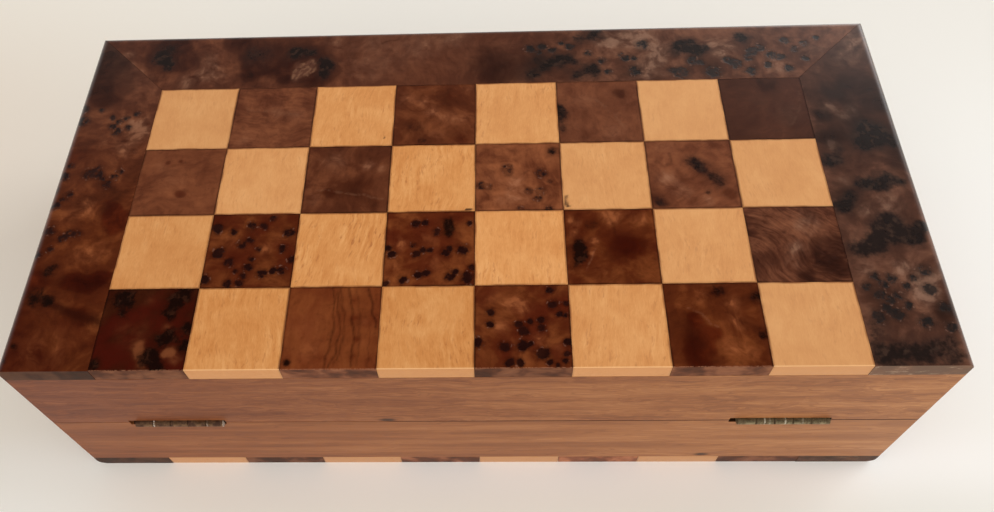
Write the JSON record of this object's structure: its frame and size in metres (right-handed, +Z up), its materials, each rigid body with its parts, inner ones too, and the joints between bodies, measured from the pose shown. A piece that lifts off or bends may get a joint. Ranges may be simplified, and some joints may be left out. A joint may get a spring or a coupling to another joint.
{
  "type": "folding chess box",
  "caption": "Shallow wooden box of two hinged trays, closed by swing hooks; the outer faces carry the two halves of a chequered game board.",
  "frame": {"origin": "centre of the underside of the closed box", "axes": "+X along the box's length, +Y from the hinge side to the hook side, +Z up"},
  "size_m": [0.3, 0.1544, 0.08],
  "materials": {
    "burl_wood": "varnished burl",
    "light_wood": "varnished",
    "rail_wood": "varnished",
    "inner_wood": "bare, sanded",
    "hinge_metal": "dull, tarnished plating",
    "brass": "aged, satin"
  },
  "bodies": {
    "lower_half": {"lower_ground_board": "inner_wood", "lower_hinge_rail": "rail_wood", "lower_hook_rail": "rail_wood", "lower_left_rail": "rail_wood", "lower_right_rail": "rail_wood", "lower_hook_border": "burl_wood", "lower_left_border": "burl_wood", "lower_right_border": "burl_wood", "lower_light_squares_row_1": "light_wood", "lower_dark_squares_row_1": "burl_wood", "lower_light_squares_row_2": "light_wood", "lower_dark_squares_row_2": "burl_wood", "lower_light_squares_row_3": "light_wood", "lower_dark_squares_row_3": "burl_wood", "lower_light_squares_row_4": "light_wood", "lower_dark_squares_row_4": "burl_wood", "left_hinge_lower_leaf": "hinge_metal", "left_hinge_pin": "hinge_metal", "left_hinge_lower_screws": "brass", "left_hook_pivot": "brass", "right_hinge_lower_leaf": "hinge_metal", "right_hinge_pin": "hinge_metal", "right_hinge_lower_screws": "brass", "right_hook_pivot": "brass"},
    "upper_half": {"upper_ground_board": "inner_wood", "upper_hinge_rail": "rail_wood", "upper_hook_rail": "rail_wood", "upper_left_rail": "rail_wood", "upper_right_rail": "rail_wood", "upper_hook_border": "burl_wood", "upper_left_border": "burl_wood", "upper_right_border": "burl_wood", "upper_light_squares_row_1": "light_wood", "upper_dark_squares_row_1": "burl_wood", "upper_light_squares_row_2": "light_wood", "upper_dark_squares_row_2": "burl_wood", "upper_light_squares_row_3": "light_wood", "upper_dark_squares_row_3": "burl_wood", "upper_light_squares_row_4": "light_wood", "upper_dark_squares_row_4": "burl_wood", "left_hinge_upper_leaf": "hinge_metal", "left_hinge_upper_screws": "brass", "left_catch_stud": "brass", "right_hinge_upper_leaf": "hinge_metal", "right_hinge_upper_screws": "brass", "right_catch_stud": "brass"},
    "left_hook": {"left_hook": "brass"},
    "right_hook": {"right_hook": "brass"}
  },
  "joints": [
    {"name": "fold", "type": "hinge", "parent": "lower_half", "child": "upper_half", "pos_m": [0, -0.07515, 0.04], "axis": [1, 0, 0], "range_deg": [0, 180]},
    {"name": "left_hook_swing", "type": "hinge", "parent": "lower_half", "child": "left_hook", "pos_m": [-0.104, 0.0758, 0.031], "axis": [0, 1, 0], "range_deg": [-160, 180]},
    {"name": "right_hook_swing", "type": "hinge", "parent": "lower_half", "child": "right_hook", "pos_m": [0.104, 0.0758, 0.031], "axis": [0, 1, 0], "range_deg": [-160, 180]}
  ]
}
